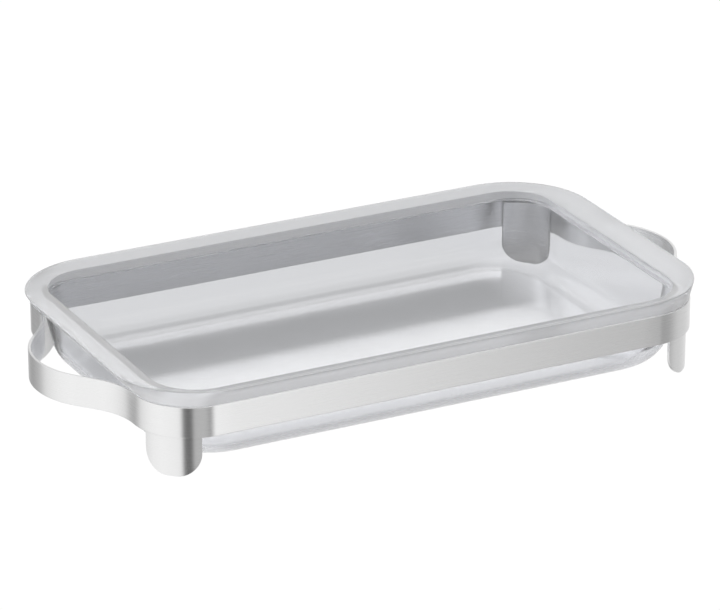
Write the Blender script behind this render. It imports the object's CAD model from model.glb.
import math

import bmesh
import bpy
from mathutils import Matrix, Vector


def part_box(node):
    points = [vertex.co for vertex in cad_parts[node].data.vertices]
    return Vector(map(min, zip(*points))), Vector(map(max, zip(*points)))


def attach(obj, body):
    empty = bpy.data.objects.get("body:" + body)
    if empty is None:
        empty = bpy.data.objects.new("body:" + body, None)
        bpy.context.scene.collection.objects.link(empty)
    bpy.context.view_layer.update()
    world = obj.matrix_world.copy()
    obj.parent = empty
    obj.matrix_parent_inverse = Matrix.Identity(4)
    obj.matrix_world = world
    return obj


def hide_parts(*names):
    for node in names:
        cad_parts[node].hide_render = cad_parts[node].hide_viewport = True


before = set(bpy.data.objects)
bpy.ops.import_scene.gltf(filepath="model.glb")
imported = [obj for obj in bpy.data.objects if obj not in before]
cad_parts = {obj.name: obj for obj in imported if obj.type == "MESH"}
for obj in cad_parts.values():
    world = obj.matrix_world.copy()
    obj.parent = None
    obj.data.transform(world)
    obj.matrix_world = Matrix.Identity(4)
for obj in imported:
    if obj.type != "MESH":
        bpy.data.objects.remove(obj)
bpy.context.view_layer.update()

# A clear glass serving dish in a stand of brushed steel strip, on a white table.
# Every piece stands for one CAD node and is built from the same sizes, in metres.
# +X runs along the length, +Y to the back and +Z up from the table.

# ---------------------------------------------------------------- sizes

DISH_LOW, DISH_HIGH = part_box("glass_dish")
STRAP_LOW, STRAP_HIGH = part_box("front_strap")

# glass rim
RIM_TOP = DISH_HIGH.z
RIM_HALF_X = DISH_HIGH.x
RIM_HALF_Y = DISH_HIGH.y
RIM_CORNER = 0.0545
RIM_LAND = 0.0018
RIM_DROP = 0.0027
RIM_FOOT_INSET = 0.0008

# how far the brow's sharp corner stands past the box, before its rounding cuts it back
BROW_PROUD_X = 0.0008
BROW_PROUD_Y = 0.0005

# where the rim's section takes over from the walls, below the strip's top and the mouth
OUTSIDE_STOP = 0.0012
INSIDE_STOP = 0.004

# a point on the outer wall, measured in and down from the wall's top, and one below the mouth
WALL_IN_X = 0.0006
WALL_IN_Y = 0.0003
WALL_DOWN = 0.006
MOUTH_DOWN = 0.012

# roundings of the rim
RIM_FOOT_ROUND = 0.0006
BROW_ROUND = 0.0009
LAND_ROUND = 0.0004
MOUTH_ROUND = 0.0010

# mouth and inside of the well
MOUTH_LEVEL = RIM_TOP - RIM_DROP
MOUTH_HALF_X = 0.180
MOUTH_HALF_Y = 0.105
MOUTH_CORNER = 0.030
FLOOR_LEVEL = 0.0086
FLOOR_HALF_X = 0.1735
FLOOR_HALF_Y = 0.1018
FLOOR_CORNER = 0.043
FLOOR_ROUND = 0.014

# outside of the well
WALL_HALF_X = 0.1845
WALL_HALF_Y = 0.109
WALL_CORNER = 0.032
BASE_LEVEL = DISH_LOW.z
BASE_HALF_X = 0.1787
BASE_HALF_Y = 0.1061
BASE_CORNER = 0.045
BASE_ROUND = 0.0175

# steel strip of the stand
STRIP_TOP = STRAP_HIGH.z
STRIP_LOW = STRAP_LOW.z
STRIP_THICK = 0.002
STRIP_EDGE = 0.0004
STRIP_FACE_MARGIN = 0.0006
STAND_HALF_X = 0.192
STAND_HALF_Y = -STRAP_LOW.y
STAND_CORNER = 0.0385

# bowed handles
BEND_ANGLE = math.radians(40.0)
BEND_RADIUS = 0.047
BOW_RADIUS = 0.0534
BEND_X = STAND_HALF_X + BEND_RADIUS
BEND_Y = STAND_HALF_Y - STAND_CORNER
SEAM_X = BEND_X - BEND_RADIUS * math.cos(BEND_ANGLE)
SEAM_Y = BEND_Y - BEND_RADIUS * math.sin(BEND_ANGLE)

# legs
WELD_GAP = 0.0002
LEG_THICK = 0.002
LEG_OUTER = STAND_CORNER - STRIP_THICK - WELD_GAP
LEG_INNER = LEG_OUTER - LEG_THICK
LEG_HALF_SWEEP = math.radians(30.0)
LEG_TOE = 0.015
LEG_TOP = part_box("front_left_leg")[1].z
LEG_ROWS = 8

# ---------------------------------------------------------------- mesh helpers

CORNER_STEPS = 20
LONG_STEPS = 36
SHORT_STEPS = 20


def ring(half_x, half_y, corner, level):
    """Points round a level rounded rectangle, the same count for every ring."""
    points = []
    inner_x = half_x - corner
    inner_y = half_y - corner
    sides = [
        # start of the corner in degrees, its centre, steps along the side after it, end of that side
        (-90, inner_x, -inner_y, SHORT_STEPS, (half_x, inner_y)),
        (0, inner_x, inner_y, LONG_STEPS, (-inner_x, half_y)),
        (90, -inner_x, inner_y, SHORT_STEPS, (-half_x, -inner_y)),
        (180, -inner_x, -inner_y, LONG_STEPS, (inner_x, -half_y)),
    ]
    for start, centre_x, centre_y, run, (end_x, end_y) in sides:
        for step in range(CORNER_STEPS + 1):
            angle = math.radians(start + 90 * step / CORNER_STEPS)
            x = centre_x + corner * math.cos(angle)
            y = centre_y + corner * math.sin(angle)
            points.append(Vector((x, y, level)))
        last = points[-1]
        for step in range(1, run):
            share = step / run
            x = last.x + (end_x - last.x) * share
            y = last.y + (end_y - last.y) * share
            points.append(Vector((x, y, level)))
    return points


def place_object(name, data):
    """A new object in the scene."""
    item = bpy.data.objects.new(name, data)
    bpy.context.scene.collection.objects.link(item)
    return item


def skin(name, rings):
    """A closed mesh of quads between matching rings, with a flat face on the first and the last."""
    mesh = bpy.data.meshes.new(name)
    build = bmesh.new()
    rows = [[build.verts.new(point) for point in points] for points in rings]
    count = len(rows[0])
    for lower, upper in zip(rows[:-1], rows[1:]):
        for index in range(count):
            following = (index + 1) % count
            build.faces.new((lower[index], lower[following], upper[following], upper[index]))
    build.faces.new(list(reversed(rows[0])))
    build.faces.new(rows[-1])
    bmesh.ops.recalc_face_normals(build, faces=build.faces)
    for face in build.faces:
        face.smooth = len(face.verts) == 4
        if not face.smooth:
            for edge in face.edges:
                edge.smooth = False
    build.to_mesh(mesh)
    build.free()
    return place_object(name, mesh)


def stand_for(piece, node, body, material):
    """Gives a piece its material and ties it to the CAD node that it replaces."""
    piece.data.materials.append(material)
    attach(piece, body)
    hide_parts(node)


# ---------------------------------------------------------------- node helpers

# sockets of a colour Mix node
MIX_FIRST = 6
MIX_SECOND = 7
MIX_RESULT = 2

WHITE = (1.0, 1.0, 1.0, 1.0)


def map_range(tree, source, low=0.0, high=1.0, start=0.0, end=1.0, smooth=False):
    """The source, carried from the span between start and end to the span between low and high."""
    node = tree.nodes.new("ShaderNodeMapRange")
    if smooth:
        node.interpolation_type = "SMOOTHSTEP"
    node.inputs["From Min"].default_value = start
    node.inputs["From Max"].default_value = end
    node.inputs["To Min"].default_value = low
    node.inputs["To Max"].default_value = high
    tree.links.new(source, node.inputs["Value"])
    return node.outputs["Result"]


def colour_ramp(tree, source, stops, blending="LINEAR"):
    """The source, turned into colours by stops of (position, colour)."""
    node = tree.nodes.new("ShaderNodeValToRGB")
    ramp = node.color_ramp
    ramp.interpolation = blending
    while len(ramp.elements) < len(stops):
        ramp.elements.new(0.5)
    for element, (position, colour) in zip(ramp.elements, stops):
        element.position = position
        element.color = colour
    tree.links.new(source, node.inputs["Fac"])
    return node.outputs["Color"]


def blend_to(tree, factor, linked, plain):
    """A linked colour that gives way to a plain one as the factor rises."""
    node = tree.nodes.new("ShaderNodeMix")
    node.data_type = "RGBA"
    node.inputs[MIX_SECOND].default_value = plain
    tree.links.new(factor, node.inputs["Factor"])
    tree.links.new(linked, node.inputs[MIX_FIRST])
    return node.outputs[MIX_RESULT]


def math_node(tree, operation, first, second=None):
    """One operation on one or two values; the second may be a linked value or a number."""
    node = tree.nodes.new("ShaderNodeMath")
    node.operation = operation
    tree.links.new(first, node.inputs[0])
    if isinstance(second, float):
        node.inputs[1].default_value = second
    elif second is not None:
        tree.links.new(second, node.inputs[1])
    return node.outputs["Value"]


def new_material(name):
    """A node material and its tree."""
    material = bpy.data.materials.new(name)
    material.use_nodes = True
    return material, material.node_tree


# ---------------------------------------------------------------- steel

# hairs of the brushing: noise per metre along the strip and across it
HAIR_ALONG = 14.0
HAIR_ACROSS = 9000.0
STEEL_ROUGH = (0.24, 0.33)


def make_steel():
    """Stainless steel brushed along the strip: long hairline scratches, with a sheen across them."""
    material, tree = new_material("brushed_steel_strip")
    nodes, links = tree.nodes, tree.links
    shader = nodes["Principled BSDF"]
    uv = nodes.new("ShaderNodeUVMap")
    uv.uv_map = "along"
    stretch = nodes.new("ShaderNodeMapping")
    stretch.inputs["Scale"].default_value = (HAIR_ALONG, HAIR_ACROSS, 1.0)
    links.new(uv.outputs["UV"], stretch.inputs["Vector"])
    hair = nodes.new("ShaderNodeTexNoise")
    hair.noise_dimensions = "2D"
    hair.inputs["Scale"].default_value = 1.0
    hair.inputs["Detail"].default_value = 3.0
    hair.inputs["Roughness"].default_value = 0.6
    links.new(stretch.outputs["Vector"], hair.inputs["Vector"])
    links.new(map_range(tree, hair.outputs["Fac"], *STEEL_ROUGH), shader.inputs["Roughness"])
    shades = [(0.25, (0.86, 0.86, 0.86, 1.0)), (0.75, (0.93, 0.93, 0.93, 1.0))]
    links.new(colour_ramp(tree, hair.outputs["Fac"], shades), shader.inputs["Base Color"])
    scratches = nodes.new("ShaderNodeBump")
    scratches.inputs["Strength"].default_value = 0.10
    scratches.inputs["Distance"].default_value = 0.00002
    links.new(hair.outputs["Fac"], scratches.inputs["Height"])
    links.new(scratches.outputs["Normal"], shader.inputs["Normal"])
    tangent = nodes.new("ShaderNodeTangent")
    tangent.direction_type = "UV_MAP"
    tangent.uv_map = "along"
    links.new(tangent.outputs["Tangent"], shader.inputs["Tangent"])
    shader.inputs["Metallic"].default_value = 1.0
    shader.inputs["Anisotropic"].default_value = 0.98
    shader.inputs["Anisotropic Rotation"].default_value = 0.25
    return material


# ---------------------------------------------------------------- glass dish

# how cloudy the rim is, as kept on the mesh: the well has none of it
FACE_FROST = 1.0
TOP_FROST = 0.7

# share of light let through and roughness, each from clear glass to the cloudiest
LIGHT_THROUGH = (0.97, 0.32)
GLASS_ROUGH = (0.09, 0.20)

# slack in telling the rim from the well, and its outer face from its top
MOUTH_SLACK = 0.0003
FOOT_SLACK = 0.0002
FACE_SLACK = 0.001


def make_glass():
    """Pressed glass: clear and faintly cool, with a mould's slow ripple and a cloudy rim."""
    material, tree = new_material("pressed_glass")
    nodes, links = tree.nodes, tree.links
    shader = nodes["Principled BSDF"]
    place = nodes.new("ShaderNodeTexCoord")
    ripple = nodes.new("ShaderNodeTexNoise")
    ripple.inputs["Scale"].default_value = 18.0
    ripple.inputs["Detail"].default_value = 1.0
    links.new(place.outputs["Object"], ripple.inputs["Vector"])
    waves = nodes.new("ShaderNodeBump")
    waves.inputs["Strength"].default_value = 0.20
    waves.inputs["Distance"].default_value = 0.0010
    links.new(ripple.outputs["Fac"], waves.inputs["Height"])
    links.new(waves.outputs["Normal"], shader.inputs["Normal"])
    frost = nodes.new("ShaderNodeAttribute")
    frost.attribute_name = "frost"
    passed = map_range(tree, frost.outputs["Fac"], *LIGHT_THROUGH)
    links.new(passed, shader.inputs["Transmission Weight"])
    links.new(map_range(tree, frost.outputs["Fac"], *GLASS_ROUGH), shader.inputs["Roughness"])
    shader.inputs["Base Color"].default_value = (0.965, 0.97, 0.985, 1.0)
    shader.inputs["IOR"].default_value = 1.47
    return material


def blend(start, end, share):
    """The sizes part of the way from one list of sizes to another."""
    return [a + (b - a) * share for a, b in zip(start, end)]


def rounding_inset(height, radius, lean):
    """How far inside a leaning wall's line its rounded foot lies, at a height above the foot."""
    turn = math.pi / 2 - lean
    if height >= radius * (1 - math.cos(turn)):
        return 0.0
    swing = math.acos(max(-1.0, 1 - height / radius))
    return height * math.tan(lean) + radius * math.tan(turn / 2) - radius * math.sin(swing)


def wall_levels(foot, last, radius, arc_steps=14, straight_steps=8):
    """Levels close together round a rounded foot and further apart up the wall."""
    levels = []
    for step in range(arc_steps + 1):
        levels.append(foot + radius * (1 - math.cos(math.pi / 2 * step / arc_steps)))
    arc_end = levels[-1]
    for step in range(1, straight_steps + 1):
        levels.append(arc_end + (last - arc_end) * step / straight_steps)
    return levels


def wall_rings(foot, top, last, foot_size, top_size, radius):
    """Rings of a drafted wall with a rounded foot; sizes are (half_x, half_y, corner)."""
    lean_x = math.atan2(top_size[0] - foot_size[0], top - foot)
    lean_y = math.atan2(top_size[1] - foot_size[1], top - foot)
    rings = []
    for level in wall_levels(foot, last, radius):
        half_x, half_y, corner = blend(foot_size, top_size, (level - foot) / (top - foot))
        inset_x = rounding_inset(level - foot, radius, lean_x)
        inset_y = rounding_inset(level - foot, radius, lean_y)
        rings.append(ring(half_x - inset_x, half_y - inset_y, corner - (inset_x + inset_y) / 2, level))
    return rings


# the most of a side that one rounded corner takes up
LONGEST_SHARE = 0.45


def round_corner(before, at, after, radius, steps):
    """A small curve in place of one corner of a chain of (half_x, half_y, corner, level)."""
    ends = []
    for neighbour in (before, after):
        span = math.hypot(at[0] - neighbour[0], at[3] - neighbour[3])
        ends.append(blend(at, neighbour, min(LONGEST_SHARE, radius / span)))
    first, last = ends
    curve = []
    for step in range(steps + 1):
        share = step / steps
        curve.append([
            (1 - share) ** 2 * a + 2 * share * (1 - share) * b + share ** 2 * c
            for a, b, c in zip(first, at, last)
        ])
    return curve


def rim_chain():
    """The rim's section as (half_x, half_y, corner, level), from the outer wall over to the mouth."""
    foot = (
        STAND_HALF_X - RIM_FOOT_INSET,
        STAND_HALF_Y - RIM_FOOT_INSET,
        STAND_CORNER - RIM_FOOT_INSET,
        STRIP_TOP)
    wall_top = (WALL_HALF_X, WALL_HALF_Y, WALL_CORNER, STRIP_TOP)
    wall_below = (WALL_HALF_X - WALL_IN_X, WALL_HALF_Y - WALL_IN_Y, WALL_CORNER, STRIP_TOP - WALL_DOWN)
    brow = (RIM_HALF_X + BROW_PROUD_X, RIM_HALF_Y + BROW_PROUD_Y, RIM_CORNER, RIM_TOP)
    land = (RIM_HALF_X - RIM_LAND, RIM_HALF_Y - RIM_LAND, RIM_CORNER - RIM_LAND, RIM_TOP)
    mouth = (MOUTH_HALF_X, MOUTH_HALF_Y, MOUTH_CORNER, MOUTH_LEVEL)
    lean = (MOUTH_HALF_X - FLOOR_HALF_X) / (MOUTH_LEVEL - FLOOR_LEVEL)
    wall_inside = (
        MOUTH_HALF_X - MOUTH_DOWN * lean,
        MOUTH_HALF_Y - MOUTH_DOWN * lean / 2,
        MOUTH_CORNER,
        MOUTH_LEVEL - MOUTH_DOWN)
    chain = round_corner(wall_below, wall_top, foot, RIM_FOOT_ROUND, 3)
    chain += round_corner(wall_top, foot, brow, RIM_FOOT_ROUND, 4)
    chain.append(blend(foot, brow, 0.5))
    chain += round_corner(foot, brow, land, BROW_ROUND, 6)
    chain += round_corner(brow, land, mouth, LAND_ROUND, 2)
    for share in (0.15, 0.5, 0.8):
        chain.append(blend(land, mouth, share))
    chain += round_corner(land, mouth, wall_inside, MOUTH_ROUND, 6)
    return chain


def rim_frost(half_y, level):
    """How cloudy the glass is here: most on the rim's outer face, less on its top."""
    on_rim = half_y > MOUTH_HALF_Y + MOUTH_SLACK and level > STRIP_TOP - FOOT_SLACK
    if not on_rim:
        return 0.0
    foot_y = STAND_HALF_Y - RIM_FOOT_INSET
    on_face = half_y > foot_y - FACE_SLACK and level < RIM_TOP - FACE_SLACK
    return FACE_FROST if on_face else TOP_FROST


def make_dish(material):
    """The pressed dish as one closed skin, from the base up the outside, over the rim and down."""
    outside = wall_rings(
        BASE_LEVEL, STRIP_TOP, STRIP_TOP - OUTSIDE_STOP,
        (BASE_HALF_X, BASE_HALF_Y, BASE_CORNER), (WALL_HALF_X, WALL_HALF_Y, WALL_CORNER), BASE_ROUND)
    inside = wall_rings(
        FLOOR_LEVEL, MOUTH_LEVEL, MOUTH_LEVEL - INSIDE_STOP,
        (FLOOR_HALF_X, FLOOR_HALF_Y, FLOOR_CORNER), (MOUTH_HALF_X, MOUTH_HALF_Y, MOUTH_CORNER), FLOOR_ROUND)
    chain = rim_chain()
    rings = outside + [ring(*sizes) for sizes in chain] + list(reversed(inside))
    dish = skin("dish_glass", rings)
    frost = [0.0] * len(outside)
    frost += [rim_frost(half_y, level) for _, half_y, _, level in chain]
    frost += [0.0] * len(inside)
    layer = dish.data.attributes.new("frost", "FLOAT", "POINT")
    for index, spot in enumerate(layer.data):
        spot.value = frost[index // len(rings[0])]
    stand_for(dish, "glass_dish", "dish", material)


# ---------------------------------------------------------------- strips

ARC_STEP = math.radians(2.5)
EDGE_STEPS = 5
FRONT_STEPS = 24
SEAM_STEPS = 5


def strip_section():
    """The strip's section as (depth behind the outer face, level), its edges rounded."""
    near = STRIP_EDGE
    far = STRIP_THICK - STRIP_EDGE
    low = STRIP_LOW + STRIP_EDGE
    top = STRIP_TOP - STRIP_EDGE
    face_low = low + STRIP_FACE_MARGIN
    face_top = top - STRIP_FACE_MARGIN
    corners = [
        # centre of the rounding, its start in degrees, points on the face after it
        (near, low, 180, []),
        (far, low, 270, [(STRIP_THICK, face_low), (STRIP_THICK, face_top)]),
        (far, top, 0, []),
        (near, top, 90, [(0.0, face_top), (0.0, face_low)]),
    ]
    points = []
    for depth, level, start, face in corners:
        for step in range(EDGE_STEPS + 1):
            angle = math.radians(start + 90 * step / EDGE_STEPS)
            points.append((depth + STRIP_EDGE * math.cos(angle), level + STRIP_EDGE * math.sin(angle)))
        points += face
    return points


def arc_path(centre, radius, start, end, inward):
    """Steps along a bend of the outer face: (point, outward normal)."""
    steps = max(6, int(abs(end - start) / ARC_STEP))
    path = []
    for step in range(steps + 1):
        angle = start + (end - start) * step / steps
        out = Vector((math.cos(angle), math.sin(angle), 0))
        point = Vector((centre[0], centre[1], 0)) + out * radius
        path.append((point, -out if inward else out))
    return path


def straight_path(start, end, normal, steps):
    """Steps inside a straight run, without its two ends."""
    return [(start.lerp(end, step / steps), normal) for step in range(1, steps)]


def turned(path, half_turn):
    """The same path, or the path turned half round the upright axis."""
    if not half_turn:
        return path
    return [(Vector((-p.x, -p.y, p.z)), Vector((-n.x, -n.y, n.z))) for p, n in path]


def side_path():
    """The front strip's outer face, from the left seam round both corners to the right seam."""
    corner_x = STAND_HALF_X - STAND_CORNER
    left = Vector((-corner_x, -STAND_HALF_Y, 0))
    right = Vector((corner_x, -STAND_HALF_Y, 0))
    path = arc_path((-BEND_X, -BEND_Y), BEND_RADIUS, BEND_ANGLE, 0, True)
    path += arc_path((-corner_x, -BEND_Y), STAND_CORNER, math.pi, math.pi * 1.5, False)[1:]
    path += straight_path(left, right, Vector((0, -1, 0)), FRONT_STEPS)
    path += arc_path((corner_x, -BEND_Y), STAND_CORNER, math.pi * 1.5, math.pi * 2, False)
    path += arc_path((BEND_X, -BEND_Y), BEND_RADIUS, math.pi, math.pi - BEND_ANGLE, True)[1:]
    return path


def handle_path():
    """The left handle's outer face, from its front seam round the bow to its rear seam."""
    cos_bend = math.cos(BEND_ANGLE)
    sin_bend = math.sin(BEND_ANGLE)
    rise = SEAM_Y - BOW_RADIUS * sin_bend
    bow_x = -SEAM_X - rise * math.tan(BEND_ANGLE) + BOW_RADIUS * cos_bend
    front = Vector((-cos_bend, -sin_bend, 0))
    rear = Vector((-cos_bend, sin_bend, 0))
    front_seam = Vector((-SEAM_X, -SEAM_Y, 0))
    rear_seam = Vector((-SEAM_X, SEAM_Y, 0))
    bow = arc_path((bow_x, 0), BOW_RADIUS, math.pi + BEND_ANGLE, math.pi - BEND_ANGLE, False)
    path = [(front_seam, front)]
    path += straight_path(front_seam, bow[0][0], front, SEAM_STEPS)
    path += bow
    path += straight_path(bow[-1][0], rear_seam, rear, SEAM_STEPS)
    path.append((rear_seam, rear))
    return path


def sweep(name, path):
    """A strip whose outer face follows the path, with a map of metres along and across it."""
    section = strip_section()
    rows = []
    lengths = []
    travelled = 0.0
    for index, (point, normal) in enumerate(path):
        if index:
            travelled += (point - path[index - 1][0]).length
        lengths.append(travelled)
        rows.append([point - normal * depth + Vector((0, 0, level)) for depth, level in section])
    around = [0.0]
    for first, second in zip(section, section[1:] + section[:1]):
        around.append(around[-1] + math.dist(first, second))
    strip = skin(name, rows)
    map_along(strip, lengths, around)
    return strip


def map_along(strip, lengths, around):
    """Writes metres along and across the strip into its map, for the brushing."""
    count = len(around) - 1
    layer = strip.data.uv_layers.new(name="along")
    for polygon in strip.data.polygons:
        vertices = [strip.data.loops[loop].vertex_index for loop in polygon.loop_indices]
        columns = [vertex % count for vertex in vertices]
        wraps = len(columns) == 4 and max(columns) == count - 1 and min(columns) == 0
        for loop, vertex, column in zip(polygon.loop_indices, vertices, columns):
            across = around[count] if wraps and column == 0 else around[column]
            layer.data[loop].uv = (lengths[vertex // count], across)


def make_strips(material):
    """Two long strips and two handles."""
    for name, node, path, half_turn in (
        ("strip_front", "front_strap", side_path(), False),
        ("strip_rear", "rear_strap", side_path(), True),
        ("handle_left", "left_handle", handle_path(), False),
        ("handle_right", "right_handle", handle_path(), True),
    ):
        strip = sweep(name, turned(path, half_turn))
        stand_for(strip, node, "frame", material)


# ---------------------------------------------------------------- legs

# keeps the map of a leg's inner face clear of its outer face
INNER_FACE_SHIFT = 0.5

FLAT_STEPS = 6
TOE_STEPS = 16
SOFT_EDGE = 0.0003
SHARP_ANGLE = math.radians(50)


def leg_columns():
    """Places across a leg, closer together where its toe is round: (angle, lowest level)."""
    half_width = LEG_OUTER * math.sin(LEG_HALF_SWEEP)
    flat = half_width - LEG_TOE
    middle = [-flat + 2 * flat * step / FLAT_STEPS for step in range(FLAT_STEPS + 1)]
    turns = [math.pi / 2 * step / TOE_STEPS for step in range(1, TOE_STEPS + 1)]
    right = [flat + LEG_TOE * math.sin(turn) for turn in turns]
    left = [-x for x in reversed(right)]
    columns = []
    for x in left + middle + right:
        over = max(0.0, abs(x) - flat)
        low = LEG_TOE - math.sqrt(max(0.0, LEG_TOE ** 2 - over ** 2))
        columns.append((math.asin(x / LEG_OUTER), low))
    return columns


def close_leg(build, grid):
    """Faces over a grid of (outer, inner) points: both faces, both ends and both sides."""
    last = len(grid) - 1
    for index in range(last):
        here, beyond = grid[index], grid[index + 1]
        for row in range(LEG_ROWS):
            a, b, c, d = here[row], beyond[row], beyond[row + 1], here[row + 1]
            build.faces.new((a[0], b[0], c[0], d[0]))
            build.faces.new((d[1], c[1], b[1], a[1]))
        a, b = here[0], beyond[0]
        build.faces.new((a[1], b[1], b[0], a[0]))
        a, b = here[LEG_ROWS], beyond[LEG_ROWS]
        build.faces.new((a[0], b[0], b[1], a[1]))
    for column in (grid[0], grid[last]):
        for row in range(LEG_ROWS):
            a, b = column[row], column[row + 1]
            build.faces.new((a[0], a[1], b[1], b[0]))
    bmesh.ops.recalc_face_normals(build, faces=build.faces)


def map_leg(build, layer, centre, facing):
    """Smooths a leg and writes metres round the corner and up the leg into its map."""
    middle = LEG_OUTER - LEG_THICK / 2
    for face in build.faces:
        face.smooth = True
        for loop in face.loops:
            place = loop.vert.co - centre
            angle = math.atan2(place.y, place.x)
            swing = (angle - facing + math.pi) % (2 * math.pi) - math.pi
            shift = INNER_FACE_SHIFT if place.xy.length < middle else 0.0
            loop[layer].uv = (swing * LEG_OUTER, place.z + shift)


def make_leg(name, node, side_x, side_y, facing, material):
    """A curved tongue of plate with a broad rounded toe, its edges softened."""
    centre = Vector((side_x * (STAND_HALF_X - STAND_CORNER), side_y * BEND_Y, 0))
    build = bmesh.new()
    layer = build.loops.layers.uv.new("along")
    grid = []
    for angle, low in leg_columns():
        out = Vector((math.cos(facing + angle), math.sin(facing + angle), 0))
        column = []
        for row in range(LEG_ROWS + 1):
            foot = centre + Vector((0, 0, low + (LEG_TOP - low) * row / LEG_ROWS))
            outer = build.verts.new(foot + out * LEG_OUTER)
            inner = build.verts.new(foot + out * LEG_INNER)
            column.append((outer, inner))
        grid.append(column)
    close_leg(build, grid)
    map_leg(build, layer, centre, facing)
    mesh = bpy.data.meshes.new(name)
    build.to_mesh(mesh)
    build.free()
    leg = place_object(name, mesh)
    soften = leg.modifiers.new("soft_edges", "BEVEL")
    soften.width = SOFT_EDGE
    soften.segments = 3
    soften.limit_method = "ANGLE"
    soften.angle_limit = SHARP_ANGLE
    soften.harden_normals = True
    stand_for(leg, node, "frame", material)


def make_legs(material):
    """One leg inside each corner of the stand."""
    for name, node, side_x, side_y, degrees in (
        ("leg_front_left", "front_left_leg", -1, -1, 225),
        ("leg_front_right", "front_right_leg", 1, -1, 315),
        ("leg_rear_right", "rear_right_leg", 1, 1, 45),
        ("leg_rear_left", "rear_left_leg", -1, 1, 135),
    ):
        make_leg(name, node, side_x, side_y, math.radians(degrees), material)


# ---------------------------------------------------------------- table

TABLE_HALF = 20.0
TABLE_GAP = 0.0005
SHADE_REACH = 0.20
TABLE_SHADE = [
    # place from front to back in metres, light left on the table there
    (-0.150, 0.63),
    (-0.118, 0.58),
    (-0.055, 0.56),
    (-0.030, 0.76),
    (0.000, 0.80),
    (0.030, 0.74),
    (0.040, 0.45),
    (0.088, 0.37),
    (0.102, 0.48),
    (0.130, 0.74),
]
SHADE_RED = 0.985
SHADE_GREEN = 0.99
SHADE_FADE_START = BASE_HALF_X - 0.055
SHADE_FADE_END = BASE_HALF_X - 0.005
TABLE_BESIDE = (0.72, 0.725, 0.74, 1.0)
TABLE_PLAIN = (1.02, 1.02, 1.02, 1.0)


def table_colour(tree):
    """The shade under the dish, fading at both ends; seen directly, the table is plain white."""
    nodes, links = tree.nodes, tree.links
    place = nodes.new("ShaderNodeTexCoord")
    split = nodes.new("ShaderNodeSeparateXYZ")
    links.new(place.outputs["Object"], split.inputs["Vector"])
    stops = []
    for distance, light in TABLE_SHADE:
        colour = (light * SHADE_RED, light * SHADE_GREEN, light, 1.0)
        stops.append(((distance + SHADE_REACH) / (2 * SHADE_REACH), colour))
    across = map_range(tree, split.outputs["Y"], start=-SHADE_REACH, end=SHADE_REACH)
    bands = colour_ramp(tree, across, stops)
    along = math_node(tree, "ABSOLUTE", split.outputs["X"])
    beside = map_range(tree, along, start=SHADE_FADE_START, end=SHADE_FADE_END, smooth=True)
    shade = blend_to(tree, beside, bands, TABLE_BESIDE)
    path = nodes.new("ShaderNodeLightPath")
    return blend_to(tree, path.outputs["Is Camera Ray"], shade, TABLE_PLAIN)


def make_table():
    """A white table just under the feet, seen directly and through the glass but not in the steel."""
    mesh = bpy.data.meshes.new("table")
    build = bmesh.new()
    bmesh.ops.create_grid(build, x_segments=1, y_segments=1, size=TABLE_HALF)
    build.to_mesh(mesh)
    build.free()
    table = place_object("table", mesh)
    table.location.z = -TABLE_GAP
    table.visible_glossy = False
    table.visible_diffuse = False
    material, tree = new_material("white_table")
    tree.nodes.remove(tree.nodes["Principled BSDF"])
    glow = tree.nodes.new("ShaderNodeEmission")
    tree.links.new(table_colour(tree), glow.inputs["Color"])
    tree.links.new(glow.outputs["Emission"], tree.nodes["Material Output"].inputs["Surface"])
    mesh.materials.append(material)


# ---------------------------------------------------------------- light

RING_LIGHT = [
    # heading in degrees from +X, brightness of the soft boxes there
    (-180, 1.02),
    (-150, 0.98),
    (-137, 0.94),
    (-128, 0.13),
    (-117, 0.13),
    (-108, 0.50),
    (-87, 0.50),
    (-80, 0.22),
    (-75, 0.66),
    (-68, 1.24),
    (-65, 1.20),
    (-62.5, 0.92),
    (-61, 0.66),
    (-60, 0.44),
    (-58, 0.36),
    (-42, 0.38),
    (-10, 0.66),
    (60, 0.90),
    (105, 0.38),
    (125, 0.52),
    (145, 0.90),
    (170, 1.00),
]
DIM_THROUGH_GLASS = 0.29
BRIGHT_THROUGH_GLASS = 1.95

# spans over which the light changes, as parts of a unit direction
CEILING_SPAN = (0.45, 0.80)
ABOVE_SPAN = (-0.10, 0.15)
BEHIND_SPAN = (-0.30, 0.30)


def room_colour(tree, x, y, z):
    """The ring of soft boxes by heading, giving way to a white ceiling overhead."""
    heading = math_node(tree, "ARCTAN2", y, x)
    share = map_range(tree, heading, start=-math.pi, end=math.pi)
    stops = [((degrees + 180) / 360, (level, level, level, 1.0)) for degrees, level in RING_LIGHT]
    ring_light = colour_ramp(tree, share, stops, "EASE")
    overhead = map_range(tree, z, start=CEILING_SPAN[0], end=CEILING_SPAN[1], smooth=True)
    return blend_to(tree, overhead, ring_light, WHITE)


def glass_light(tree, y, z):
    """Brightness that the glass passes on: high behind and above the dish, low elsewhere."""
    above = map_range(tree, z, start=ABOVE_SPAN[0], end=ABOVE_SPAN[1], smooth=True)
    behind = map_range(tree, y, start=BEHIND_SPAN[0], end=BEHIND_SPAN[1], smooth=True)
    both = math_node(tree, "MULTIPLY", above, behind)
    return map_range(tree, both, DIM_THROUGH_GLASS, BRIGHT_THROUGH_GLASS)


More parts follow.
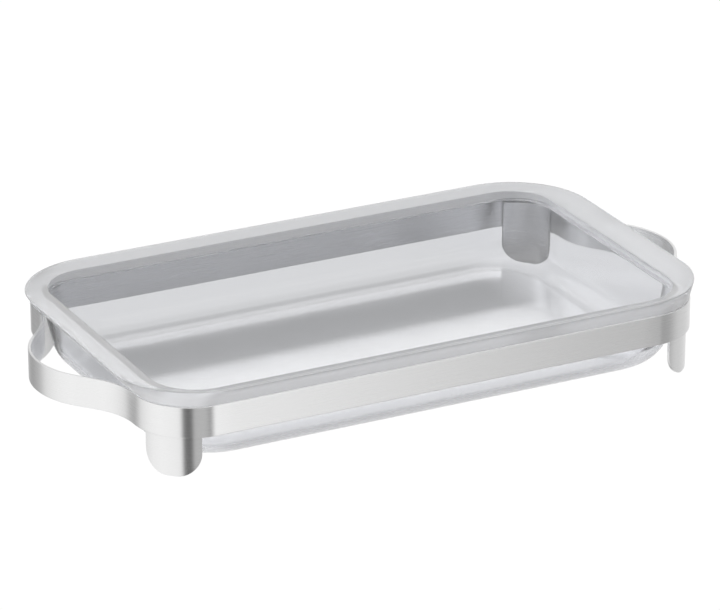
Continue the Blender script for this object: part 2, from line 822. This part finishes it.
def make_studio_light():
    """The room as the steel, the glass and the camera each see it."""
    world = bpy.data.worlds.new("studio")
    bpy.context.scene.world = world
    world.use_nodes = True
    tree = world.node_tree
    nodes, links = tree.nodes, tree.links
    way = nodes.new("ShaderNodeTexCoord")
    split = nodes.new("ShaderNodeSeparateXYZ")
    links.new(way.outputs["Generated"], split.inputs["Vector"])
    x, y, z = split.outputs
    room = nodes["Background"]
    links.new(room_colour(tree, x, y, z), room.inputs["Color"])
    through = nodes.new("ShaderNodeBackground")
    through.inputs["Color"].default_value = (0.99, 0.99, 1.0, 1.0)
    links.new(glass_light(tree, y, z), through.inputs["Strength"])
    plain = nodes.new("ShaderNodeBackground")
    plain.inputs["Color"].default_value = WHITE
    path = nodes.new("ShaderNodeLightPath")
    past_glass = math_node(tree, "GREATER_THAN", path.outputs["Transmission Depth"], 0.5)
    in_glass = nodes.new("ShaderNodeMixShader")
    links.new(past_glass, in_glass.inputs["Fac"])
    links.new(room.outputs["Background"], in_glass.inputs[1])
    links.new(through.outputs["Background"], in_glass.inputs[2])
    seen = nodes.new("ShaderNodeMixShader")
    links.new(path.outputs["Is Camera Ray"], seen.inputs["Fac"])
    links.new(in_glass.outputs["Shader"], seen.inputs[1])
    links.new(plain.outputs["Background"], seen.inputs[2])
    links.new(seen.outputs["Shader"], nodes["World Output"].inputs["Surface"])


# ---------------------------------------------------------------- camera

CAMERA_AZIMUTH = math.radians(-26.989)
CAMERA_ELEVATION = math.radians(22.555)
CAMERA_DISTANCE = 2.87507
CAMERA_LENS = 226.98
AIM_RIGHT = -0.000327
AIM_UP = -0.015014


def make_camera():
    """A long lens from the front left, a little above the rim."""
    back = Vector((
        math.sin(CAMERA_AZIMUTH) * math.cos(CAMERA_ELEVATION),
        -math.cos(CAMERA_AZIMUTH) * math.cos(CAMERA_ELEVATION),
        math.sin(CAMERA_ELEVATION)))
    right = Vector((math.cos(CAMERA_AZIMUTH), math.sin(CAMERA_AZIMUTH), 0))
    up = back.cross(right)
    lens = bpy.data.cameras.new("camera")
    lens.sensor_width = 36.0
    lens.lens = CAMERA_LENS
    lens.clip_start = 0.1
    lens.clip_end = 60.0
    camera = place_object("camera", lens)
    target = Vector((0, 0, RIM_TOP)) + right * AIM_RIGHT + up * AIM_UP
    camera.location = target + back * CAMERA_DISTANCE
    camera.rotation_mode = "QUATERNION"
    camera.rotation_quaternion = (-back).to_track_quat("-Z", "Y")
    bpy.context.scene.camera = camera


# ---------------------------------------------------------------- build

make_camera()
make_studio_light()
make_table()
steel = make_steel()
glass = make_glass()
make_dish(glass)
make_strips(steel)
make_legs(steel)
bpy.context.scene.view_settings.view_transform = "Standard"
